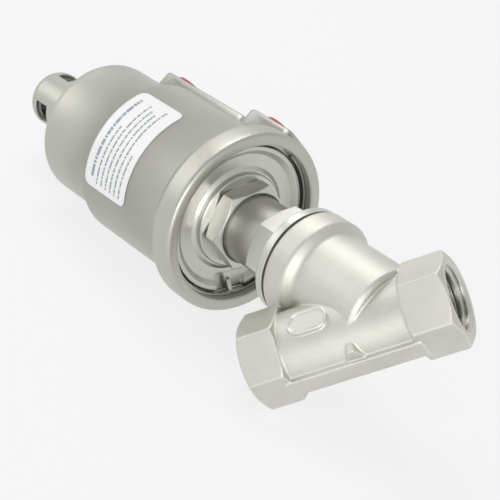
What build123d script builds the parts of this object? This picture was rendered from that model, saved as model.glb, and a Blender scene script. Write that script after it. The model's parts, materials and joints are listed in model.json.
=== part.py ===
from build123d import *
from math import atan2, cos, degrees, pi, radians, sin, sqrt
import os

os.makedirs("parts", exist_ok=True)

# All sizes in mm. The valve is drawn with its stem along +Z and the crossing of
# stem and pipe at the origin, then laid down on its side for export.

# valve body
branch_angle = 50.0          # between the stem and the long side of the pipe
short_end = 22.8             # crossing to the near pipe face
long_end = 46.5              # crossing to the far pipe face
hex_flats = 27.0             # across flats of both pipe hexagons
short_hex = 14.8             # length of the near hexagon
long_hex = 13.2              # length of the far hexagon
hex_rim_r = 13.2             # turned face radius of the hexagons
run_r = 12.8                 # outside of the pipe between the hexagons
thread_r = 10.48             # root radius of the pipe thread
thread_len = 13.0
flow_r = 7.5                 # clear passage
elbow_low = -4.0             # bottom of the drilled elbow under the seat
outlet_s = -12.0             # where the outlet passage leaves the cavity
neck_r = 15.9                # branch outside
neck_z = 1.2                 # lower end of the branch cylinder
collar_r = 18.9              # branch collar outside
collar_low = 31.0
collar_top = 39.3
cavity_r = 12.8
seat_z = 4.5                 # sealing plane
seat_land = 9.3              # outside radius of the seat land
keel_half = 3.8              # half width of the keel under the pipe
keel_reach = 14.0
lump_s = -11.0               # cast lump beside the keel
lump_long = 6.5
lump_tip = 8.6
lump_face = 12.7
plate_s = -22.2              # middle of the cast plate along the pipe
plate_long = 13.6
plate_wide = 8.0
plate_face = 13.7

# bonnet and its adapter nut
spigot_r = 14.4
spigot_bore_low = 29.0
gasket_t = 1.0
bonnet_collar_r = 18.6
bonnet_collar_t = 2.9
bonnet_flats = 25.5
bonnet_hex_low = 46.5
bonnet_hex_top = 54.8
tube_r = 12.0
tube_top = 83.6
tube_flange_r = 15.0
tube_flange_t = 2.7
chamber_r = 9.0              # packing chamber
chamber_low = 44.0
washer_t = 2.0
packing_t = 3.0
gland_sleeve_len = 15.0
gland_nut_len = 8.0
stem_seal_t = 3.0
nut_flats = 27.0
nut_low = 68.1
nut_high = 75.0
nut_flange_r = 16.9
nut_neck_r = 13.5

# actuator
bore_r = 25.0                # 50 mm cylinder
body_r = 28.7                # main cylinder outside
band_r = 32.7                # flared lower band
rim_z = 71.7
rim_r = 28.3                 # opening of the rim recess
rim_round = 2.0
band_top = 79.5
band_run = 85.5              # where the flare meets the cylinder
shoulder_z = 129.0
dome_r = 25.4
dome_round = 15.0
dome_top = 177.8
dome_wall = 3.6
bush_r = 6.0                 # hole for the rod's bush
guide_t = 2.0                # flange that holds the spring's upper end
guide_gap = 1.1
cover_low = 76.6             # lower cover, underside at the nut
cover_high = 80.6
pocket_long = 6.9            # pocket for the ring's tang
pocket_wide = 12.0
pocket_deep = 1.0
cap_r = 10.6                 # slotted indicator cap
cap_top = 195.4
cap_round = 5.5
cap_wall = 2.2
window_low = 181.6
window_high = 188.8
window_angle = 48.0
pad_half = 7.0               # long port pad
pad_face = 30.3
pad_low = 99.0
pad_high = 146.0
pad_corner = 3.0
pad_edge = 0.7
pad_root = 18.0              # where pad and boss start inside the wall
boss_half = 8.0              # supply port boss
boss_face = 33.9
supply_z = 89.5
exhaust_z = 137.0
port_r = 4.86                # air port thread root radius
port_depth = 6.4
duct_r = 2.2

# spindle
stem_r = 5.0
rod_r = 4.0
foot_r = 3.0
stem_low = 1.2
plug_r = 10.2
seal_r = 9.8
seal_t = 3.0
plug_t = 4.6
piston_low = 93.0
piston_high = 102.0
rod_top = 184.0
knob_r = 5.6
spring_r = 14.6              # coil centre radius
wire_r = 1.4
coils = 7.5
coil_steps = 14              # straight lengths in each turn of the wire

# clearances
running = 0.05               # shaft in its bore
loose = 0.4                  # moving pieces that never touch
press = 0.03                 # rings in their grooves
touch = 0.02                 # seal above its land

pipe = Vector(sin(radians(branch_angle)), 0, -cos(radians(branch_angle)))
across = Vector(cos(radians(branch_angle)), 0, sin(radians(branch_angle)))
pipe_axis = Axis((0, 0, 0), tuple(pipe))
run_section = Plane(origin=(0, 0, 0), x_dir=pipe, z_dir=(0, -1, 0))


# a closed section beside the stem from (radius, height) points, ready to revolve
def turn(*points):
    with BuildSketch(Plane.XZ) as section:
        with BuildLine():
            Polyline(*points, close=True)
        make_face()
    return section.sketch


# plane square to the pipe at a distance from the crossing
def pipe_plane(s):
    return Plane(origin=tuple(pipe * s), x_dir=(0, 1, 0), z_dir=pipe)


# valve body: two hexagons, the run between them and the branch
with BuildPart() as valve_body:
    for start, length in ((short_end - short_hex, short_hex), (-long_end, long_hex)):
        with BuildSketch(pipe_plane(start)):
            RegularPolygon(radius=hex_flats / sqrt(3), side_count=6)
        extrude(amount=length)
    hex_corner = hex_flats / sqrt(3) + 0.5
    for face, inward in ((short_end, -1), (-long_end, 1)):
        with BuildSketch(run_section):
            with BuildLine():
                Polyline((face, hex_rim_r), (face, hex_corner), (face + inward * 1.6, hex_corner), close=True)
            make_face()
        revolve(axis=pipe_axis, mode=Mode.SUBTRACT)
    for face, outward in ((short_end - short_hex, 1), (-long_end + long_hex, -1)):
        with BuildSketch(run_section):
            with BuildLine():
                Polyline((face, hex_rim_r + 0.9), (face, hex_corner), (face + outward * 1.0, hex_corner),
                         close=True)
            make_face()
        revolve(axis=pipe_axis, mode=Mode.SUBTRACT)
    run_low, run_high = -long_end + long_hex - 2, short_end - short_hex + 2
    with BuildSketch(pipe_plane(run_low)):
        Circle(run_r)
    extrude(amount=run_high - run_low)
    # keel along the underside
    with BuildSketch(pipe_plane(run_low)):
        with Locations((0, -keel_reach / 2)):
            Rectangle(2 * keel_half, keel_reach)
    extrude(amount=run_high - run_low)
    # low cast lump that grows out of the keel's side
    with BuildSketch(Plane(origin=tuple(pipe * lump_s - across * lump_face), x_dir=pipe, z_dir=across)):
        with BuildLine():
            Polyline((-lump_long / 2, 0), (-lump_long / 2, -keel_half), (-lump_long / 6, -lump_tip),
                     (lump_long / 6, -lump_tip), (lump_long / 2, -keel_half), (lump_long / 2, 0), close=True)
        make_face()
    extrude(amount=lump_face / 2)
    # branch and collar
    with BuildSketch(Plane.XZ):
        with BuildLine():
            Polyline((neck_r, collar_low - 3.6), (neck_r, neck_z + 1.2), (neck_r - 1.2, neck_z), (0, neck_z),
                     (0, collar_top), (collar_r - 0.5, collar_top), (collar_r, collar_top - 0.5),
                     (collar_r, collar_low + 0.8))
            Bezier((collar_r, collar_low + 0.8), (collar_r, collar_low - 0.6),
                   (collar_r - 1.2, collar_low - 1.2), (neck_r, collar_low - 1.9),
                   (neck_r, collar_low - 3.6))
        make_face()
    revolve(axis=Axis.Z)
    # stadium-shaped cast frame, left blank
    plate_plane = Plane(origin=tuple(pipe * plate_s + Vector(0, -run_r + 1, 0)), x_dir=pipe,
                        z_dir=(0, -1, 0))
    with BuildSketch(plate_plane):
        SlotOverall(plate_long, plate_wide)
    extrude(amount=plate_face - run_r + 1)
    with BuildSketch(plate_plane.offset(plate_face - run_r + 1)):
        SlotOverall(plate_long - 1.6, plate_wide - 1.6)
    extrude(amount=-0.45, mode=Mode.SUBTRACT)
    # seat bore, inlet passage and its elbow
    with BuildSketch(Plane.XY.offset(elbow_low)):
        Circle(flow_r)
    extrude(amount=seat_z - elbow_low, mode=Mode.SUBTRACT)
    with BuildSketch(pipe_plane(0)):
        Circle(flow_r)
    extrude(amount=short_end, mode=Mode.SUBTRACT)
    # outlet passage from the cavity
    with BuildSketch(pipe_plane(outlet_s)):
        Circle(flow_r)
    extrude(amount=-(long_end + outlet_s), mode=Mode.SUBTRACT)
    # cavity over the seat and the bonnet bore
    revolve(turn(
            (0, seat_z), (seat_land, seat_z), (seat_land, seat_z - 0.9), (cavity_r, seat_z - 0.9),
            (cavity_r, spigot_bore_low), (spigot_r + 0.1, spigot_bore_low),
            (spigot_r + 0.1, collar_top + 1), (0, collar_top + 1)
    ), axis=Axis.Z, mode=Mode.SUBTRACT)
    # pipe threads at root radius, with countersinks
    for face, inward in ((short_end, -1), (-long_end, 1)):
        with BuildSketch(run_section):
            with BuildLine():
                Polyline((face, 0), (face, thread_r + 0.9), (face + inward * 0.9, thread_r),
                         (face + inward * thread_len, thread_r), (face + inward * (thread_len + 1.5), flow_r),
                         (face + inward * (thread_len + 1.5), 0), close=True)
            make_face()
        revolve(axis=pipe_axis, mode=Mode.SUBTRACT)

with BuildPart() as body_gasket:
    revolve(turn(
            (spigot_r + 0.1, collar_top), (collar_r - 1.4, collar_top),
            (collar_r - 1.4, collar_top + gasket_t), (spigot_r + 0.1, collar_top + gasket_t)
    ), axis=Axis.Z)

# bonnet: threaded spigot, collar, hexagon and plain tube with an inner flange
with BuildPart() as bonnet:
    low = collar_top + gasket_t
    with BuildSketch(Plane.XY.offset(bonnet_hex_low - 3)):
        RegularPolygon(radius=bonnet_flats / sqrt(3), side_count=6, rotation=30)
    extrude(amount=bonnet_hex_top - bonnet_hex_low + 3)
    revolve(turn(
            (tube_r + 0.7, bonnet_hex_top), (18, bonnet_hex_top), (18, bonnet_hex_top - 3.2)
    ), axis=Axis.Z, mode=Mode.SUBTRACT)
    revolve(turn(
            (0, spigot_bore_low + 0.6), (spigot_r - 0.6, spigot_bore_low + 0.6),
            (spigot_r, spigot_bore_low + 1.2), (spigot_r, low), (bonnet_collar_r, low),
            (bonnet_collar_r, low + bonnet_collar_t), (tube_r + 1.2, bonnet_hex_low),
            (tube_r, bonnet_hex_low), (tube_r, tube_top - tube_flange_t),
            (tube_flange_r, tube_top - tube_flange_t), (tube_flange_r, tube_top), (0, tube_top)
    ), axis=Axis.Z)
    revolve(turn(
            (0, spigot_bore_low), (stem_r + running, spigot_bore_low), (stem_r + running, chamber_low),
            (chamber_r, chamber_low), (chamber_r, tube_top + 1), (0, tube_top + 1)
    ), axis=Axis.Z, mode=Mode.SUBTRACT)


# section of a plain ring
def sleeve(r_in, r_out, low, high):
    return turn((r_in, low), (r_out, low), (r_out, high), (r_in, high))


packing_low_z = chamber_low + washer_t
gland_low = packing_low_z + 3 * packing_t
nut_start = gland_low + gland_sleeve_len
seal_start = nut_start + gland_nut_len
snug = chamber_r - press
rub = stem_r + running
with BuildPart() as packing_washer:
    revolve(sleeve(stem_r + loose, snug, chamber_low, packing_low_z), axis=Axis.Z)
with BuildPart() as packing_low:
    revolve(sleeve(rub, snug, packing_low_z, packing_low_z + packing_t), axis=Axis.Z)
with BuildPart() as packing_mid:
    revolve(sleeve(rub, snug, packing_low_z + packing_t, packing_low_z + 2 * packing_t), axis=Axis.Z)
with BuildPart() as packing_top:
    revolve(sleeve(rub, snug, packing_low_z + 2 * packing_t, gland_low), axis=Axis.Z)
with BuildPart() as gland_sleeve:
    revolve(sleeve(stem_r + loose, snug, gland_low, nut_start), axis=Axis.Z)
with BuildPart() as gland_nut:
    revolve(sleeve(stem_r + loose, snug, nut_start, seal_start), axis=Axis.Z)
with BuildPart() as stem_seal:
    revolve(sleeve(rub, snug, seal_start, seal_start + stem_seal_t), axis=Axis.Z)
with BuildPart() as seal_washer:
    revolve(sleeve(stem_r + loose, snug, seal_start + stem_seal_t, tube_top), axis=Axis.Z)

# adapter nut that carries the actuator and turns on the tube
with BuildPart() as adapter_nut:
    with BuildSketch(Plane.XY.offset(nut_low)):
        RegularPolygon(radius=nut_flats / sqrt(3), side_count=6, rotation=-85)
    extrude(amount=nut_high - nut_low)
    for face, inward in ((nut_low, 1), (nut_high, -1)):
        revolve(turn(
                (nut_flats / 2 - 0.1, face), (hex_corner, face), (hex_corner, face + inward * 1.5)
        ), axis=Axis.Z, mode=Mode.SUBTRACT)
    revolve(turn(
            (0, nut_high - 0.4), (nut_flange_r - 0.4, nut_high), (nut_flange_r, nut_high + 0.4),
            (nut_flange_r, cover_low), (nut_neck_r, cover_low), (nut_neck_r, cover_high),
            (0, cover_high)
    ), axis=Axis.Z)
    revolve(turn(
            (0, nut_low), (tube_r + 0.9, nut_low), (tube_r + running, nut_low + 1.1),
            (tube_r + running, cover_high), (0, cover_high)
    ), axis=Axis.Z, mode=Mode.SUBTRACT)

# dished lower cover with a raised edge and a pocket for the ring's tang
with BuildPart() as lower_cover:
    revolve(turn(
            (nut_neck_r + press, cover_low), (nut_flange_r + 0.6, cover_low),
            (nut_flange_r + 2.0, cover_low + 0.9), (rim_r - 5.0, cover_low + 0.9),
            (rim_r - 3.2, cover_low - 0.9), (rim_r - 1.9, cover_low - 0.9),
            (rim_r - 1.2, cover_low + 0.6), (rim_r - press, cover_low + 0.6),
            (rim_r - press, cover_high - 2.6), (rim_r - 1.4, cover_high - 2.6),
            (rim_r - 1.4, cover_high - 0.8), (rim_r - press, cover_high - 0.8),
            (rim_r - press, cover_high), (nut_neck_r + press, cover_high)
    ), axis=Axis.Z)
    with BuildSketch(Plane.XY.offset(cover_low - 1)):
        with PolarLocations(rim_r - 1 - pocket_long / 2, 1, start_angle=134):
            Rectangle(pocket_long, pocket_wide)
    extrude(amount=pocket_deep + 1, mode=Mode.SUBTRACT)

with BuildPart() as cover_oring:
    revolve(sleeve(rim_r - 1.4 + press, rim_r - press, cover_high - 2.6, cover_high - 0.8), axis=Axis.Z)

# wire ring in the rim groove, one end bent inwards as a tang
ring_low, ring_t = 74.7, 1.7
ring_mid = rim_r - 0.05
tang = [(ring_mid, 131), (ring_mid - 0.9, 134.5), (ring_mid - 3.2, 136.8), (ring_mid - 6.2, 140)]
with BuildPart() as retaining_ring:
    with BuildSketch(Plane.XZ):
        with Locations((ring_mid, ring_low + ring_t / 2)):
            Rectangle(1.7, ring_t)
    revolve(axis=Axis.Z, revolution_arc=346)
    with BuildSketch(Plane.XY.offset(ring_low)):
        with BuildLine():
            Polyline(*[(r * cos(radians(a)), r * sin(radians(a))) for r, a in tang])
        trace(line_width=1.6)
    extrude(amount=ring_t)

# actuator housing with its long port pad and the supply boss
with BuildPart() as pad:
    with BuildSketch(Plane.YZ.offset(pad_root)):
        with Locations((0, (pad_low + pad_high) / 2)):
            RectangleRounded(2 * pad_half, pad_high - pad_low, pad_corner)
    extrude(amount=pad_face - pad_root)
    chamfer(pad.faces().sort_by(Axis.X)[-1].edges(), length=pad_edge)
with BuildPart() as boss:
    boss_low = band_top - 3.0
    boss_high = 2 * supply_z - boss_low - 3.0
    with BuildSketch(Plane.YZ.offset(pad_root)):
        with Locations((0, (boss_low + boss_high) / 2)):
            RectangleRounded(2 * boss_half, boss_high - boss_low, pad_corner)
    extrude(amount=boss_face - pad_root)
    chamfer(boss.faces().sort_by(Axis.X)[-1].edges(), length=pad_edge)

with BuildPart() as actuator_housing:
    with BuildSketch(Plane.XZ):
        with BuildLine():
            Polyline((0, rim_z), (band_r - rim_round, rim_z))
            Bezier((band_r - rim_round, rim_z), (band_r, rim_z), (band_r, rim_z + rim_round))
            Line((band_r, rim_z + rim_round), (band_r, band_top))
            Bezier((band_r, band_top), (band_r, band_top + 1.3), ((band_r + body_r) / 2, band_top + 2.6))
            Polyline(((band_r + body_r) / 2, band_top + 2.6), (body_r, band_run), (body_r, shoulder_z - 0.8),
                     (body_r - 0.8, shoulder_z), (dome_r + 0.8, shoulder_z + 0.2), (dome_r, shoulder_z + 1.0),
                     (dome_r, dome_top - dome_round))
            RadiusArc((dome_r, dome_top - dome_round), (dome_r - dome_round, dome_top), -dome_round)
            Polyline((dome_r - dome_round, dome_top), (8.1, dome_top), (8.1, dome_top + 2.7),
                     (0, dome_top + 2.7), (0, rim_z))
        make_face()
    revolve(axis=Axis.Z)
    add(pad.part)
    add(boss.part)
    inner_r = dome_r - dome_wall
    inner_top = dome_top - dome_wall
    bevel_r = dome_r - dome_round + (dome_round - dome_wall) * cos(radians(45))
    bevel_z = dome_top - dome_round + (dome_round - dome_wall) * sin(radians(45))
    with BuildSketch(Plane.XZ):
        with BuildLine():
            Polyline((inner_r, dome_top - dome_round), (inner_r, shoulder_z - 3.0),
                     (bore_r, shoulder_z - 3.0), (bore_r, cover_high), (rim_r, cover_high),
                     (rim_r, ring_low + ring_t + 0.05), (rim_r + 0.95, ring_low + ring_t + 0.05),
                     (rim_r + 0.95, ring_low - 0.05),
                     (rim_r, ring_low - 0.05), (rim_r, rim_z + 0.5), (rim_r + 0.5, rim_z), (0, rim_z),
                     (0, inner_top), (dome_r - dome_round, inner_top), (bevel_r, bevel_z), close=True)
        make_face()
    revolve(axis=Axis.Z, mode=Mode.SUBTRACT)
    with BuildSketch(Plane.XY.offset(inner_top - 1)):
        Circle(bush_r)
    extrude(amount=dome_wall + 4, mode=Mode.SUBTRACT)
    for z, face in ((supply_z, boss_face), (exhaust_z, pad_face)):
        with BuildSketch(Plane.YZ.offset(face)):
            with Locations((0, z)):
                Circle(port_r)
        extrude(amount=-port_depth, mode=Mode.SUBTRACT)
        with BuildSketch(Plane.YZ.offset(face)):
            with Locations((0, z)):
                Circle(duct_r)
        extrude(amount=-(face - dome_r + dome_wall + 2), mode=Mode.SUBTRACT)

# bush that guides the rod and holds the spring's upper end
guide_low = bevel_z - guide_t - 0.36
guide_r = bevel_r - guide_gap
with BuildPart() as spring_guide:
    revolve(turn(
            (rod_r + running, guide_low), (guide_r, guide_low), (guide_r, guide_low + guide_t),
            (bush_r + 3, guide_low + guide_t), (bush_r + 3, inner_top), (bush_r - press, inner_top),
            (bush_r - press, dome_top - 0.4), (rod_r + running, dome_top - 0.4)
    ), axis=Axis.Z)

with BuildPart() as indicator_cap:
    with BuildSketch(Plane.XZ):
        with BuildLine():
            Polyline((0, cap_top), (0, cap_top - cap_wall), (cap_r - cap_wall, cap_top - cap_wall),
                     (cap_r - cap_wall, dome_top), (cap_r, dome_top), (cap_r, cap_top - cap_round))
            RadiusArc((cap_r, cap_top - cap_round), (cap_r - cap_round, cap_top), -cap_round)
            Line((cap_r - cap_round, cap_top), (0, cap_top))
        make_face()
    revolve(axis=Axis.Z)
    for turned in (-150, -30, 90):
        a = radians(turned - window_angle / 2)
        with BuildSketch(Plane(origin=(0, 0, 0), x_dir=(cos(a), sin(a), 0), z_dir=(sin(a), -cos(a), 0))):
            with Locations((cap_r - 1, (window_low + window_high) / 2)):
                Rectangle(6, window_high - window_low)
        revolve(axis=Axis.Z, revolution_arc=window_angle, mode=Mode.SUBTRACT)

# red dust plugs pushed into the two air ports
with BuildPart() as supply_plug:
    with BuildSketch(Plane.YZ.offset(boss_face)):
        with Locations((0, supply_z)):
            Circle(port_r - loose)
    extrude(amount=-(port_depth - 1.0))
    with BuildSketch(Plane.YZ.offset(boss_face)):
        with Locations((0, supply_z)):
            Circle(port_r + 1.2)
    extrude(amount=1.3)
    chamfer(supply_plug.faces().sort_by(Axis.X)[-1].edges(), length=0.9)

with BuildPart() as exhaust_plug:
    with BuildSketch(Plane.YZ.offset(pad_face)):
        with Locations((0, exhaust_z)):
            Circle(port_r - loose)
    extrude(amount=-(port_depth - 1.0))
    with BuildSketch(Plane.YZ.offset(pad_face)):
        with Locations((0, exhaust_z)):
            Circle(port_r + 1.2)
    extrude(amount=1.0)
    chamfer(exhaust_plug.faces().sort_by(Axis.X)[-1].edges(), length=0.7)

# spindle: stem, plug with its soft seat, piston and indicator
seal_low = seat_z + touch
plug_low = seal_low + seal_t
plug_high = plug_low + plug_t
with BuildPart() as stem:
    revolve(turn(
            (0, stem_low), (foot_r - 0.5, stem_low), (foot_r, stem_low + 0.5), (foot_r, plug_high),
            (stem_r, plug_high), (stem_r, piston_low), (rod_r, piston_low), (rod_r, rod_top - 0.5),
            (rod_r - 0.5, rod_top), (0, rod_top)
    ), axis=Axis.Z)

with BuildPart() as valve_plug:
    revolve(turn(
            (foot_r + press, plug_low), (plug_r, plug_low), (plug_r, plug_high - 1.5),
            (plug_r - 1.5, plug_high), (foot_r + press, plug_high)
    ), axis=Axis.Z)

with BuildPart() as seat_seal:
    revolve(sleeve(foot_r + press, seal_r, seal_low, plug_low), axis=Axis.Z)

with BuildPart() as plug_nut:
    with BuildSketch(Plane.XY.offset(seal_low)):
        RegularPolygon(radius=10 / sqrt(3), side_count=6)
        Circle(foot_r + press, mode=Mode.SUBTRACT)
    extrude(amount=-2.6)

with BuildPart() as piston:
    revolve(turn(
            (rod_r + press, piston_low), (bore_r - loose, piston_low),
            (bore_r - loose, piston_low + 1.8), (bore_r - 2.6, piston_low + 1.8),
            (bore_r - 2.6, piston_low + 4.4), (bore_r - loose, piston_low + 4.4),
            (bore_r - loose, piston_low + 5.6), (bore_r - 1.9, piston_low + 5.6),
            (bore_r - 1.9, piston_low + 7.8), (bore_r - loose, piston_low + 7.8),
            (bore_r - loose, piston_high), (20.5, piston_high), (20.5, piston_low + 4.0),
            (9.5, piston_low + 4.0), (9.5, piston_high), (rod_r + press, piston_high)
    ), axis=Axis.Z)

with BuildPart() as piston_seal:
    revolve(sleeve(bore_r - 2.6 + press, bore_r - running, piston_low + 1.8 + press,
                   piston_low + 4.4 - press), axis=Axis.Z)

with BuildPart() as piston_guide:
    revolve(sleeve(bore_r - 1.9 + press, bore_r - running, piston_low + 5.6 + press,
                   piston_low + 7.8 - press), axis=Axis.Z)

with BuildPart() as piston_nut:
    with BuildSketch(Plane.XY.offset(piston_high)):
        RegularPolygon(radius=13 / sqrt(3), side_count=6)
        Circle(rod_r + press, mode=Mode.SUBTRACT)
    extrude(amount=5.0)

with BuildPart() as indicator_knob:
    revolve(sleeve(rod_r + press, knob_r, rod_top - 5.0, rod_top), axis=Axis.Z)

# closing spring between the piston and the guide
spring_low = piston_low + 4.0
spring_high = guide_low
with BuildPart() as closing_spring:
    coil_h = spring_high - spring_low - 2 * wire_r
    steps = round(coils * coil_steps)
    turns = [2 * pi * k / coil_steps for k in range(steps + 1)]
    with BuildLine() as coil:
        Polyline(*[(spring_r * cos(a), spring_r * sin(a), spring_low + wire_r + coil_h * a / turns[-1])
                   for a in turns])
    with BuildSketch(Plane(origin=coil.line @ 0, z_dir=coil.line % 0)):
        RegularPolygon(radius=wire_r, side_count=6)
    sweep(transition=Transition.RIGHT)

# resting pose: band, shoulder and the rim of the far hexagon touch the floor
contact_z = shoulder_z - 0.8
tilt = atan2(band_r - body_r, contact_z - band_top)
floor_gap = band_r * cos(tilt) + band_top * sin(tilt)


# how far the far pipe end reaches towards the floor, less the band's reach, at a roll about the stem
def hex_reach(roll):
    down = Vector(-sin(roll) * cos(tilt), cos(roll) * cos(tilt), sin(tilt))
    rim = down.dot(-pipe) * long_end + hex_rim_r * sqrt(1 - down.dot(pipe) ** 2)
    spokes = [across * sin(radians(60 * k)) + Vector(0, cos(radians(60 * k)), 0) for k in range(6)]
    corners = [down.dot(-pipe) * (long_end - 1.6) + hex_flats / sqrt(3) * down.dot(spoke)
               for spoke in spokes]
    return max(rim, *corners) - floor_gap


roll_low, roll_high = radians(10), radians(70)
for _ in range(50):
    roll = (roll_low + roll_high) / 2
    if hex_reach(roll) < 0:
        roll_low = roll
    else:
        roll_high = roll
up = Vector(sin(roll) * cos(tilt), -cos(roll) * cos(tilt), -sin(tilt))
level = Vector(0, 0, -1) - up * Vector(0, 0, -1).dot(up)
floor = Plane(origin=(0, 0, 0), x_dir=tuple(level.normalized()), z_dir=tuple(up))
laid = floor.location.inverse()

pieces = {
    "valve_body": valve_body, "body_gasket": body_gasket, "bonnet": bonnet, "packing_washer": packing_washer,
    "packing_low": packing_low, "packing_mid": packing_mid, "packing_top": packing_top,
    "gland_sleeve": gland_sleeve, "gland_nut": gland_nut, "stem_seal": stem_seal, "seal_washer": seal_washer,
    "adapter_nut": adapter_nut, "lower_cover": lower_cover, "cover_oring": cover_oring,
    "retaining_ring": retaining_ring, "actuator_housing": actuator_housing, "spring_guide": spring_guide,
    "indicator_cap": indicator_cap, "supply_plug": supply_plug, "exhaust_plug": exhaust_plug,
    "stem": stem, "valve_plug": valve_plug, "seat_seal": seat_seal, "plug_nut": plug_nut, "piston": piston,
    "piston_seal": piston_seal, "piston_guide": piston_guide, "piston_nut": piston_nut,
    "indicator_knob": indicator_knob, "closing_spring": closing_spring,
}
posed = {name: piece.part.moved(laid) for name, piece in pieces.items()}
boxes = [shape.bounding_box(optimal=True) for shape in posed.values()]
low_x, high_x = min(b.min.X for b in boxes), max(b.max.X for b in boxes)
low_y, high_y = min(b.min.Y for b in boxes), max(b.max.Y for b in boxes)
low_z = min(b.min.Z for b in boxes)
centre = Location((-(low_x + high_x) / 2, -(low_y + high_y) / 2, -low_z))
for name, shape in posed.items():
    shape = shape.moved(centre)
    shape.label = name
    export_step(shape, "parts/" + name + ".step")

place = centre * laid
print("size", high_x - low_x, high_y - low_y, max(b.max.Z for b in boxes) - low_z)
print("roll", degrees(roll), "tilt", degrees(tilt))
for word, point in (("crossing", (0, 0, 0)), ("stem_up", (0, 0, 100)), ("pipe", tuple(pipe * 100)),
                    ("pad_out", (100, 0, 0))):
    spot = (place * Location(point)).position
    print(word, [round(v, 5) for v in tuple(spot)])
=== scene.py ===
# angle seat valve lying on a pale floor: steel finishes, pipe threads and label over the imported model
import json
import math
import bmesh
import bpy
import numpy as np
from mathutils import Matrix, Vector


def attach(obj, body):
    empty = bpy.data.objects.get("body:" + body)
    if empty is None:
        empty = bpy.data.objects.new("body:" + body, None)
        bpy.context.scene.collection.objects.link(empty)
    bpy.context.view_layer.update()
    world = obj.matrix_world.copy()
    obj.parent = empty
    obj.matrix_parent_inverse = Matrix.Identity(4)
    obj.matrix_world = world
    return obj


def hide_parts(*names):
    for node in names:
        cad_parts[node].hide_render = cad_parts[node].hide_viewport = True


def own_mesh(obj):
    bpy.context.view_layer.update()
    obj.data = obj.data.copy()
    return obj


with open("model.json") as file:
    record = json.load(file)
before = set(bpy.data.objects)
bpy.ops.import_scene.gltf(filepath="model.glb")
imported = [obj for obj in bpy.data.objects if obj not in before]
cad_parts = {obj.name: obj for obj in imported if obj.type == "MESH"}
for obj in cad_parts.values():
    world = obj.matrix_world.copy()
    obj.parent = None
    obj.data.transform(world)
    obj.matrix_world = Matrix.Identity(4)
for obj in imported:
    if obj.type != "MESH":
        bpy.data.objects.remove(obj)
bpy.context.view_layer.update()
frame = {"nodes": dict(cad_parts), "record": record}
nodes = frame["nodes"]
mounts = {m["name"]: m for m in frame["record"]["mounts"]}
slides = {j["name"]: j for j in frame["record"]["behaviour"]["joints"]}
print("frame loaded:", len(nodes), "nodes")

# the valve's own axes, all from the record; the inlet mount lies this far along the pipe from the crossing
lie = {"inletAlong": 16.3, "mm": 0.001}
stemDir = np.array(slides["stem_lift"]["axis"])
pipeDir = np.array(mounts["inlet"]["axis"])
padDir = np.array(mounts["supply_port"]["axis"])
sideDir = np.cross(stemDir, padDir)
crossing = np.array(mounts["inlet"]["pos_m"]) - pipeDir * lie["inletAlong"] * lie["mm"]


# row place = crossing + x of the pad direction + y of the side direction + z of the stem direction
def fromStem(x, y, z):
    return crossing + (x[..., None] * padDir + y[..., None] * sideDir + z[..., None] * stemDir) * lie["mm"]


# the valve's own x, y, z in mm of row places: the offset from the crossing dotted with each direction
def toStem(places):
    offset = (places - crossing) / lie["mm"]
    return offset @ padDir, offset @ sideDir, offset @ stemDir


# the row place of one point of the valve's own axes
def stemPlace(point):
    return fromStem(*(np.array(v) for v in point))


# a new object of that name and data, linked to the scene
def linked(name, data):
    obj = bpy.data.objects.new(name, data)
    bpy.context.scene.collection.objects.link(obj)
    return obj


# one socket of a node tree; an operator between sockets or numbers is the Math node of that name
class Wire:
    def __init__(self, bench, socket):
        self.bench = bench
        self.socket = socket

    # Math node of this socket and another value, the other way round when flip is set
    def maths(self, operation, other=None, flip=False):
        pair = (other, self) if flip else (self, other)
        return self.bench.node("ShaderNodeMath", {"operation": operation},
                               {i: p for i, p in enumerate(pair) if p is not None})

    def __add__(self, other):
        return self.maths("ADD", other)

    def __radd__(self, other):
        return self.maths("ADD", other, True)

    def __sub__(self, other):
        return self.maths("SUBTRACT", other)

    def __rsub__(self, other):
        return self.maths("SUBTRACT", other, True)

    def __mul__(self, other):
        return self.maths("MULTIPLY", other)

    def __rmul__(self, other):
        return self.maths("MULTIPLY", other, True)

    def __abs__(self):
        return self.maths("ABSOLUTE")

    def __gt__(self, other):
        return self.maths("GREATER_THAN", other)

    def __lt__(self, other):
        return self.maths("LESS_THAN", other)


# a node tree to wire up: node() adds any node, the rest are short names for common ones
class Bench:
    def __init__(self, tree):
        self.nodes = tree.nodes
        self.links = tree.links

    # a node of one type: its settings come first, then the values or links of its sockets
    def node(self, kind, settings=None, inputs=None, out=0):
        made = self.nodes.new(kind)
        for key, value in (settings or {}).items():
            setattr(made, key, value)
        for key, value in (inputs or {}).items():
            self.feed(made.inputs[key], value)
        return Wire(self, made.outputs[out])

    # a socket takes a link from a wire, or a plain value
    def feed(self, socket, value):
        if isinstance(value, Wire):
            self.links.new(value.socket, socket)
        else:
            socket.default_value = value

    # cloudy value about 0.5 with scale waves in each metre
    def noise(self, scale, detail, where):
        return self.node("ShaderNodeTexNoise", {"noise_dimensions": "3D"},
                         {"Vector": where, "Scale": scale, "Detail": detail}, "Fac")

    # 0 below low, 1 above high, a smooth step between
    def step(self, value, low, high):
        return self.node("ShaderNodeMapRange", {"interpolation_type": "SMOOTHSTEP"},
                         {"Value": value, "From Min": low, "From Max": high})

    # low colour where the mask is 0, high colour where it is 1
    def blend(self, mask, low, high):
        return self.node("ShaderNodeMix", {"data_type": "RGBA"}, {0: mask, 6: low, 7: high}, 2)

    # dot product of two vectors
    def dot(self, one, other):
        return self.node("ShaderNodeVectorMath", {"operation": "DOT_PRODUCT"}, {0: one, 1: other}, "Value")


edgeMask = {"samples": 6, "low": 0.015, "high": 0.16}


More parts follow.
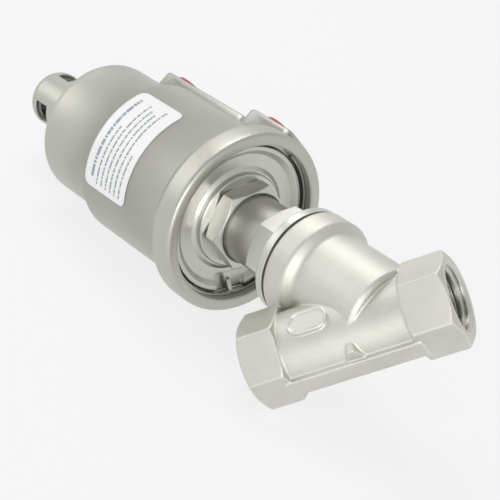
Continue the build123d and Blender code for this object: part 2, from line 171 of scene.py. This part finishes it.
# a material with its bench and its Principled shader
class Finish(Bench):
    def __init__(self, name):
        self.material = bpy.data.materials.new(name)
        self.material.use_nodes = True
        super().__init__(self.material.node_tree)
        self.shader = self.nodes["Principled BSDF"]
        self.where = self.node("ShaderNodeTexCoord", out="Object")

    # values or wires for the shader's sockets, an underscore standing for a space
    def wear(self, **values):
        for key, value in values.items():
            self.feed(self.shader.inputs[key.replace("_", " ")], value)

    # rounded normal within a radius, and an edge mask: 1 less its dot product with the true normal, stepped
    def edges(self, radius):
        rounded = self.node("ShaderNodeBevel", {"samples": edgeMask["samples"]}, {"Radius": radius})
        flat = self.node("ShaderNodeNewGeometry", out="Normal")
        return rounded, self.step(1 - self.dot(rounded, flat), edgeMask["low"], edgeMask["high"])

    # normal of a height field laid over another normal
    def bump(self, height, strength, distance, over=None):
        sockets = {"Height": height, "Strength": strength, "Distance": distance}
        if over is not None:
            sockets["Normal"] = over
        return self.node("ShaderNodeBump", None, sockets)


satinMix = {"drift": 0.7, "grain": 0.3, "pitSoft": 0.08, "driftRough": 0.1, "edgeRough": 0.08,
            "pitDrop": 0.5}


# satin steel: two greys mixed by a slow drift, darker in small pits and paler on edges, partly as wear and
# partly as a painted highlight;
# roughness is a base plus shares of grain and drift, less on edges; height is grain plus drift less pits
def satin(name, look):
    f = Finish(name)
    drift = f.noise(look["drift"], 4.0, f.where)
    grain = f.noise(look["grain"], 3.0, f.where)
    pits = f.step(f.noise(look["pits"], 1.0, f.where), look["pitLevel"],
                  look["pitLevel"] + satinMix["pitSoft"])
    rounded, edge = f.edges(look["edge"])
    tone = f.blend(drift * satinMix["drift"] + grain * satinMix["grain"], look["dark"], look["light"])
    tone = f.blend(pits * look["pitShade"], tone, look["pitTone"])
    # edges turn paler: partly wear, partly a painted highlight along the rounded edges
    tone = f.blend(edge * look["edgeWearAndHighlightShare"], tone, look["edgeWearAndHighlightTone"])
    f.wear(Base_Color=tone, Metallic=1.0,
           Roughness=look["rough"] + (grain - 0.5) * look["grainSwing"]
           + (drift - 0.5) * satinMix["driftRough"] - edge * satinMix["edgeRough"],
           Normal=f.bump(grain * look["grainRise"] + drift * look["driftRise"] - pits * satinMix["pitDrop"],
                         look["bump"], look["depth"], rounded))
    return f.material


turnedMix = {"drift": 0.6, "grooves": 0.4, "edge": 0.5, "driftRough": 0.14, "grooveRise": 0.7,
             "grainRise": 0.3}


# turned steel: grooves are noise of (distance along the stem + distance from it), so they ring both
# cylinders and flat faces; colour and roughness drift with them and edges are paler, partly as wear and
# partly as a painted highlight
def turned(name, look):
    f = Finish(name)
    offset = f.node("ShaderNodeVectorMath", {"operation": "SUBTRACT"}, {0: f.where, 1: tuple(crossing)})
    along = f.dot(offset, tuple(stemDir))
    away = (f.dot(offset, offset) - along * along).maths("SQRT")
    grooves = f.node("ShaderNodeTexNoise", {"noise_dimensions": "1D"},
                     {"W": (along + away) * look["grooves"], "Scale": 1.0, "Detail": 1.5}, "Fac")
    grain = f.noise(look["grain"], 3.0, f.where)
    drift = f.noise(look["drift"], 3.0, f.where)
    rounded, edge = f.edges(look["edge"])
    tone = f.blend(drift * turnedMix["drift"] + grooves * turnedMix["grooves"], look["dark"], look["light"])
    # paler edges: partly wear, partly a painted highlight along the rounded edges
    tone = f.blend(edge * turnedMix["edge"], tone, look["edgeWearAndHighlightTone"])
    f.wear(Base_Color=tone, Metallic=1.0,
           Roughness=look["rough"] + (grooves - 0.5) * look["grooveSwing"]
           + (drift - 0.5) * turnedMix["driftRough"],
           Normal=f.bump(grooves * turnedMix["grooveRise"] + grain * turnedMix["grainRise"],
                         look["bump"], look["depth"], rounded))
    return f.material


mouldedMix = {"radius": 0.00025, "edge": 0.3, "grainRough": 0.14, "depth": 0.0002}


# moulded plastic or rubber: two near tones mixed by grain, roughness and height following the same grain
def moulded(name, look):
    f = Finish(name)
    grain = f.noise(look["grain"], 3.0, f.where)
    rounded, edge = f.edges(mouldedMix["radius"])
    tone = f.blend(grain, look["dark"], look["light"])
    # edges blend toward the light tone: a painted highlight along the rounded edges, partly wear
    f.wear(Base_Color=f.blend(edge * mouldedMix["edge"], tone, look["light"]), Metallic=0.0,
           Roughness=look["rough"] + (grain - 0.5) * mouldedMix["grainRough"],
           Normal=f.bump(grain, look["bump"], mouldedMix["depth"], rounded))
    return f.material


# the edge tones of these looks are paler than the surface: partly wear, partly a painted highlight on rounded
# edges
castLook = {"dark": (0.52, 0.505, 0.455, 1), "light": (0.80, 0.785, 0.735, 1), "drift": 55.0, "grain": 1700.0,
            "pits": 1500.0, "pitLevel": 0.68, "pitShade": 0.22, "pitTone": (0.40, 0.38, 0.34, 1),
            "edge": 0.0011, "edgeWearAndHighlightShare": 0.75, "edgeWearAndHighlightTone": (0.93, 0.92, 0.88, 1), "rough": 0.53,
            "grainSwing": 0.16, "grainRise": 0.7, "driftRise": 0.8, "bump": 0.4, "depth": 0.00022}
blastLook = {"dark": (0.45, 0.45, 0.40, 1), "light": (0.60, 0.595, 0.545, 1), "drift": 32.0, "grain": 2600.0,
             "pits": 1200.0, "pitLevel": 0.7, "pitShade": 0.3, "pitTone": (0.3, 0.3, 0.27, 1), "edge": 0.0006,
             "edgeWearAndHighlightShare": 0.6, "edgeWearAndHighlightTone": (0.80, 0.79, 0.75, 1), "rough": 0.42, "grainSwing": 0.12,
             "grainRise": 0.8, "driftRise": 0.25, "bump": 0.3, "depth": 0.00012}
turnedLook = {"dark": (0.52, 0.52, 0.48, 1), "light": (0.67, 0.665, 0.625, 1), "drift": 90.0, "grain": 1800.0,
              "grooves": 2400.0, "grooveSwing": 0.1, "edge": 0.0004, "edgeWearAndHighlightTone": (0.8, 0.79, 0.75, 1),
              "rough": 0.36, "bump": 0.1, "depth": 0.00005}
wireLook = {"dark": (0.42, 0.42, 0.39, 1), "light": (0.55, 0.55, 0.51, 1), "drift": 120.0, "grain": 1800.0,
            "pits": 900.0, "pitLevel": 0.7, "pitShade": 0.3, "pitTone": (0.25, 0.25, 0.22, 1), "edge": 0.0003,
            "edgeWearAndHighlightShare": 0.4, "edgeWearAndHighlightTone": (0.75, 0.75, 0.7, 1), "rough": 0.3, "grainSwing": 0.1,
            "grainRise": 0.5, "driftRise": 0.2, "bump": 0.15, "depth": 0.0001}
darkLook = dict(wireLook, dark=(0.12, 0.12, 0.115, 1), light=(0.2, 0.2, 0.19, 1),
                edgeWearAndHighlightTone=(0.35, 0.35, 0.33, 1))
redLook = {"dark": (0.52, 0.02, 0.05, 1), "light": (0.66, 0.04, 0.09, 1), "grain": 900.0, "rough": 0.36,
           "bump": 0.12}
rubberLook = {"dark": (0.02, 0.02, 0.02, 1), "light": (0.045, 0.045, 0.043, 1), "grain": 900.0, "rough": 0.6,
              "bump": 0.2}
graphiteLook = {"dark": (0.16, 0.155, 0.145, 1), "light": (0.26, 0.255, 0.24, 1), "grain": 1200.0,
                "rough": 0.5, "bump": 0.3}
sealLook = {"dark": (0.7, 0.69, 0.65, 1), "light": (0.8, 0.79, 0.76, 1), "grain": 500.0, "rough": 0.5,
            "bump": 0.1}
turnedSteel = turned("turnedSteel", turnedLook)
blackRubber = moulded("blackRubber", rubberLook)
redPlastic = moulded("redPlastic", redLook)
whiteSeal = moulded("whiteSeal", sealLook)
blastedSteel = satin("blastedSteel", blastLook)
wireSteel = satin("wireSteel", wireLook)
wears = {
    "valve_body": satin("castSteel", castLook), "body_gasket": moulded("graphiteSheet", graphiteLook),
    "actuator_housing": blastedSteel, "indicator_cap": blastedSteel, "retaining_ring": wireSteel,
    "closing_spring": wireSteel, "indicator_knob": satin("darkSteel", darkLook), "supply_plug": redPlastic,
    "exhaust_plug": redPlastic, "stem_seal": blackRubber, "cover_oring": blackRubber,
    "piston_seal": blackRubber, "packing_low": whiteSeal, "packing_mid": whiteSeal,
    "packing_top": whiteSeal, "seat_seal": whiteSeal, "piston_guide": whiteSeal,
}
for name, obj in nodes.items():
    obj.data.materials.clear()
    obj.data.materials.append(wears.get(name, turnedSteel))
print("finishes on", len(nodes), "nodes")


# a smooth mesh from a grid of points, rows always joined round; columns too when ring is set
def gridMesh(name, points, ring, material, uv=None):
    nu, nv = points.shape[:2]
    i, j = np.meshgrid(np.arange(nu if ring else nu - 1), np.arange(nv), indexing="ij")
    i2, j2 = (i + 1) % nu, (j + 1) % nv
    quads = np.stack([i * nv + j, i2 * nv + j, i2 * nv + j2, i * nv + j2], -1).reshape(-1, 4)
    mesh = bpy.data.meshes.new(name)
    mesh.vertices.add(nu * nv)
    mesh.vertices.foreach_set("co", points.reshape(-1).astype(np.float32))
    mesh.loops.add(quads.size)
    mesh.loops.foreach_set("vertex_index", quads.reshape(-1).astype(np.int32))
    mesh.polygons.add(len(quads))
    mesh.polygons.foreach_set("loop_start", (np.arange(len(quads)) * 4).astype(np.int32))
    mesh.update(calc_edges=True)
    mesh.polygons.foreach_set("use_smooth", np.ones(len(quads), bool))
    if uv is not None:
        layer = mesh.uv_layers.new(name="lay")
        layer.data.foreach_set("uv", uv.reshape(-1, 2)[quads.reshape(-1)].reshape(-1).astype(np.float32))
    mesh.materials.append(material)
    return linked(name, mesh)


thread = {"pitch": 1.814, "root": 10.47, "crest": 9.32, "faceOut": 6.5, "turns": 96, "steps": 14, "from": 0.7,
          "to": 12.6, "fadeIn": 1.2, "fadeOut": 1.5, "steep": 1.3, "flat": 0.15, "skin": 0.02}
threadLook = dict(wireLook, dark=(0.5, 0.5, 0.46, 1), light=(0.66, 0.65, 0.61, 1), edge=0.0002)


# pipe thread sleeve: radius falls from root to crest as a rounded saw of (depth / pitch + turn), fading at
# both ends; the last two columns of the profile close it at the root
def threadSleeve(name, mount, material):
    out = np.array(mount["axis"])
    across = np.cross(out, stemDir)
    across /= np.linalg.norm(across)
    third = np.cross(out, across)
    rows = int((thread["to"] - thread["from"]) / thread["pitch"] * thread["steps"])
    turn, d = np.meshgrid(np.linspace(0, 2 * math.pi, thread["turns"], endpoint=False),
                          np.linspace(thread["from"], thread["to"], rows), indexing="ij")
    saw = np.abs(((d / thread["pitch"] + turn / (2 * math.pi)) % 1.0) * 2 - 1)
    ridge = np.clip(saw * thread["steep"] - thread["flat"], 0, 1)
    fade = np.clip((d - thread["from"]) / thread["fadeIn"], 0, 1)
    fade *= np.clip((thread["to"] - d) / thread["fadeOut"], 0, 1)
    r = thread["root"] - thread["skin"] - (thread["root"] - thread["crest"]) * ridge * fade
    r = np.concatenate([r, np.full((len(r), 2), thread["root"])], 1)
    d = np.concatenate([d, np.tile([thread["to"], thread["from"]], (len(d), 1))], 1)
    turn = np.tile(turn[:, :1], (1, d.shape[1]))
    face = np.array(mount["pos_m"]) + out * thread["faceOut"] * lie["mm"]
    spoke = np.cos(turn)[..., None] * across + np.sin(turn)[..., None] * third
    points = face - d[..., None] * out * lie["mm"] + r[..., None] * spoke * lie["mm"]
    obj = gridMesh(name, points, True, material)
    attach(obj, "valve")
    return obj


threadSteel = satin("threadSteel", threadLook)
for name in ("inlet", "outlet"):
    threadSleeve(name + "Thread", mounts[name], threadSteel)
print("pipe threads cut")

dome = {"start": 147.0, "cadBend": 162.8, "cadTop": 177.8, "neckTop": 180.5, "round": 6.0, "top": 163.0,
        "radius": 25.4, "cadFlat": 10.4, "neck": 8.2, "slack": 0.01}
capBase = {"cadLow": 177.8, "window": 181.6, "top": 196.0}


# housing rule: above the pad, heights run piecewise linearly so that the dome ends at its real height;
# past its bend, radii run so that the flat end widens and the rounding is the real one
def drawDome(x, y, z):
    bend = dome["top"] - dome["round"]
    high = np.interp(z, (dome["start"], dome["cadBend"], dome["cadTop"], dome["neckTop"]),
                     (dome["start"], bend, dome["top"], dome["top"] + dome["neckTop"] - dome["cadTop"]))
    r = np.hypot(x, y)
    wide = np.interp(r, (0, dome["neck"], dome["cadFlat"], dome["radius"]),
                     (0, dome["neck"], dome["radius"] - dome["round"], dome["radius"]))
    share = np.where(z > dome["cadBend"] - dome["slack"], wide / np.maximum(r, 1e-6), 1.0)
    return x * share, y * share, np.where(z > dome["start"], high, z)


# cap rule: the foot below the windows stretches down to the dome's real end
def drawCap(x, y, z):
    heights = (capBase["cadLow"], capBase["window"], capBase["top"])
    return x, y, np.interp(z, heights, (dome["top"], capBase["window"], capBase["top"]))


# a merged copy of a node's mesh with its points moved by a rule, smooth but for edges over 30 degrees
def reshaped(name, node, rule, standsFor):
    mesh = nodes[node].data.copy()
    mesh.name = name
    shape = bmesh.new()
    shape.from_mesh(mesh)
    bmesh.ops.remove_doubles(shape, verts=shape.verts, dist=1e-6)
    shape.to_mesh(mesh)
    shape.free()
    places = np.empty(len(mesh.vertices) * 3, np.float32)
    mesh.vertices.foreach_get("co", places)
    moved = fromStem(*rule(*toStem(places.reshape(-1, 3).astype(float))))
    mesh.vertices.foreach_set("co", moved.reshape(-1).astype(np.float32))
    mesh.polygons.foreach_set("use_smooth", np.ones(len(mesh.polygons), bool))
    mesh.set_sharp_from_angle(angle=math.radians(30))
    mesh.update()
    obj = linked(name, mesh)
    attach(obj, "actuator")
    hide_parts(*standsFor)


reshaped("housingShell", "actuator_housing", drawDome, ("actuator_housing", "spring_guide"))
reshaped("slottedCap", "indicator_cap", drawCap, ("indicator_cap",))
print("dome and cap drawn")

coil = {"low": 97.0, "high": 158.6, "radius": 14.6, "wire": 1.4, "coils": 7.5, "steps": 48, "sides": 12,
        "lift": 9.0}


# closing spring: a round wire along a helix, its radius falling to nothing as a half circle at both ends
def closingCoil():
    t, side = np.meshgrid(np.linspace(0, 1, int(coil["coils"] * coil["steps"])),
                          np.linspace(0, 2 * math.pi, coil["sides"], endpoint=False), indexing="ij")
    rise = coil["high"] - coil["low"] - 2 * coil["wire"]
    length = 2 * math.pi * coil["radius"] * coil["coils"]
    near = np.minimum(np.minimum(t, 1 - t) * length / coil["wire"], 1.0)
    wire = coil["wire"] * np.sqrt(np.maximum(1 - (1 - near) ** 2, 1e-6))
    turn = 2 * math.pi * coil["coils"] * t
    r = coil["radius"] + wire * np.cos(side)
    z = coil["low"] + coil["wire"] + rise * t + wire * np.sin(side)
    points = fromStem(r * np.cos(turn), r * np.sin(turn), z)
    obj = gridMesh("closingCoil", points, False, wireSteel)
    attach(obj, "spindle")
    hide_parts("closing_spring")
    foot = stemPlace((0.0, 0.0, coil["low"]))
    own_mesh(obj)


closingCoil()
print("closing coil wound")

label = {"radius": 28.7, "thick": 0.12, "skin": 0.02, "low": 102.8, "high": 126.7, "from": -140.5,
         "to": -59.0, "corner": 2.6, "columns": 120, "rows": 48}
paperLook = {"dark": (0.94, 0.945, 0.94, 1), "light": (0.97, 0.972, 0.965, 1), "grain": 500.0, "rough": 0.34,
             "grainRough": 0.12, "bump": 0.06, "depth": 0.0001}
inkLook = {"tone": (0.16, 0.18, 0.24, 1), "share": 0.75, "dashes": 60.0, "shift": 9.7, "gap": 0.36}
# rules of the blank label: height, half width, left and right end, all as shares of the sheet
labelRules = ((0.82, 0.030, 0.09, 0.90), (0.69, 0.018, 0.05, 0.60), (0.58, 0.018, 0.05, 0.90),
              (0.47, 0.018, 0.05, 0.86), (0.36, 0.018, 0.05, 0.84), (0.25, 0.018, 0.05, 0.92),
              (0.14, 0.018, 0.05, 0.44))


# label paper: each rule is 1 where the height is within its half width and the length between its ends,
# broken into short dashes where a noise along the length dips
def labelPaper():
    f = Finish("labelPaper")
    uv = f.node("ShaderNodeUVMap", {"uv_map": "lay"})
    u = f.node("ShaderNodeSeparateXYZ", None, {0: uv}, "X")
    v = f.node("ShaderNodeSeparateXYZ", None, {0: uv}, "Y")
    ink = 0.0
    for count, (middle, half, start, stop) in enumerate(labelRules):
        along = u * inkLook["dashes"] + inkLook["shift"] * count
        dash = f.node("ShaderNodeTexNoise", {"noise_dimensions": "1D"},
                      {"W": along, "Scale": 1.0, "Detail": 0.0}, "Fac")
        band = (abs(v - middle) < half) * (u > start) * (u < stop)
        ink = band * (dash > inkLook["gap"]) + ink
    grain = f.noise(paperLook["grain"], 2.0, f.where)
    paper = f.blend(grain, paperLook["dark"], paperLook["light"])
    f.wear(Base_Color=f.blend(ink * inkLook["share"], paper, inkLook["tone"]), Metallic=0.0,
           Roughness=paperLook["rough"] + grain * paperLook["grainRough"],
           Normal=f.bump(grain, paperLook["bump"], paperLook["depth"]))
    return f.material


# label sheet: a patch of cylinder; at each end its height draws in along a quarter circle, and the front and
# the turned-back rear close it as a thin slab
def labelSheet():
    start = math.radians(label["from"])
    sweep = math.radians(label["to"]) - start
    wide = sweep * label["radius"]
    tall = label["high"] - label["low"]
    u, v = np.meshgrid(np.linspace(0, 1, label["columns"]), np.linspace(0, 1, label["rows"]), indexing="ij")
    edge = np.minimum(np.minimum(u, 1 - u) * wide, label["corner"])
    draw = label["corner"] - np.sqrt(label["corner"] ** 2 - (label["corner"] - edge) ** 2)
    z = label["low"] + draw + v * (tall - 2 * draw)
    angle = start + u * sweep
    outer, inner = label["radius"] + label["thick"], label["radius"] + label["skin"]
    front = fromStem(outer * np.cos(angle), outer * np.sin(angle), z)
    back = fromStem(inner * np.cos(angle), inner * np.sin(angle), z)[:, ::-1]
    uv = np.stack([u, (z - label["low"]) / tall], -1)
    obj = gridMesh("blankLabel", np.concatenate([front, back], 1), False, labelPaper(),
                   np.concatenate([uv, uv[:, ::-1]], 1))
    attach(obj, "actuator")


labelSheet()
print("label laid on")

ground = {"half": 3.0, "tone": (0.88, 0.885, 0.89, 1), "glow": (0.955, 0.96, 0.96, 1), "share": 0.8,
          "rough": 0.9}


# floor: lit diffuse for every ray, mixed with a plain glow for camera, mirror and glass rays by a share
def paleFloor():
    f = Finish("paleFloor")
    seen = [f.node("ShaderNodeLightPath", None, None, ray) for ray in
            ("Is Camera Ray", "Is Glossy Ray", "Is Transmission Ray")]
    f.wear(Base_Color=ground["tone"], Roughness=ground["rough"])
    glow = f.node("ShaderNodeEmission", None, {"Color": ground["glow"], "Strength": 1.0})
    lit = Wire(f, f.shader.outputs["BSDF"])
    share = (seen[0] + seen[1] + seen[2]) * ground["share"]
    both = f.node("ShaderNodeMixShader", None, {0: share, 1: lit, 2: glow})
    f.feed(f.nodes["Material Output"].inputs["Surface"], both)
    half = ground["half"]
    mesh = bpy.data.meshes.new("floorPlane")
    corners = [(-half, -half, 0), (half, -half, 0), (half, half, 0), (-half, half, 0)]
    mesh.from_pydata(corners, [], [(0, 1, 2, 3)])
    mesh.materials.append(f.material)
    obj = linked("floorPlane", mesh)


paleFloor()

tent = {"tone": (0.95, 0.955, 0.96, 1), "diffuse": 0.52, "mirror": 0.36, "dim": 0.3,
        "openFrom": 0.25, "openTo": 0.9}


# world: strength is the diffuse level, plus the mirror level for glossy rays so that steel sees a pale tent;
# glossy rays that point upward lose a share, as the tent has an open top
def lightTent():
    world = bpy.data.worlds.new("lightTent")
    bpy.context.scene.world = world
    world.use_nodes = True
    bench = Bench(world.node_tree)
    glossy = bench.node("ShaderNodeLightPath", None, None, "Is Glossy Ray")
    ray = bench.node("ShaderNodeNewGeometry", out="Incoming")
    down = bench.node("ShaderNodeSeparateXYZ", None, {0: ray}, "Z")
    openTop = bench.step(0.0 - down, tent["openFrom"], tent["openTo"])
    background = world.node_tree.nodes["Background"]
    bench.feed(background.inputs["Color"], tent["tone"])
    mirror = tent["mirror"] - openTop * tent["dim"]
    bench.feed(background.inputs["Strength"], tent["diffuse"] + glossy * mirror)


lightTent()

lamps = {"topBox": ((-0.4, 0.1, 0.8), 0.5, 2.4), "leftBox": ((-0.7, -0.5, 0.45), 0.6, 1.2),
         "rightBox": ((0.75, -0.55, 0.2), 0.5, 3.4)}
lampAim = Vector((0, 0, 0.03))


# a soft lamp: a square area light at a place, turned to look at the valve
def lamp(name, place, size, power):
    data = bpy.data.lights.new(name, "AREA")
    data.shape = "SQUARE"
    data.size = size
    data.energy = power
    obj = linked(name, data)
    obj.location = place
    obj.rotation_euler = (lampAim - Vector(place)).to_track_quat("-Z", "Y").to_euler()


for name, (place, size, power) in lamps.items():
    lamp(name, place, size, power)
print("floor, tent and lamps set")

# the camera's place in mm and its directions in the valve's own axes, with its lens
shot = {"place": (-71.7, -394.6, -297.4), "right": (0.6444, 0.455, -0.6146),
        "down": (-0.7551, 0.5057, -0.4173), "ahead": (0.121, 0.733, 0.6694), "lens": 116.91, "sensor": 36.0,
        "near": 0.01}


# a direction of the valve's own axes as a unit vector of the row frame
def direction(parts):
    turnedTo = parts[0] * padDir + parts[1] * sideDir + parts[2] * stemDir
    return Vector(turnedTo / np.linalg.norm(turnedTo))


cameraData = bpy.data.cameras.new("camera")
cameraData.sensor_width = shot["sensor"]
cameraData.lens = shot["lens"]
cameraData.clip_start = shot["near"]
camera = linked("camera", cameraData)
rows = (direction(shot["right"]), -direction(shot["down"]), -direction(shot["ahead"]))
aim = Matrix(rows).transposed().to_4x4()
aim.translation = Vector(stemPlace(shot["place"]))
camera.matrix_world = aim
bpy.context.scene.camera = camera
bpy.context.scene.view_settings.view_transform = "Standard"
print("camera set")
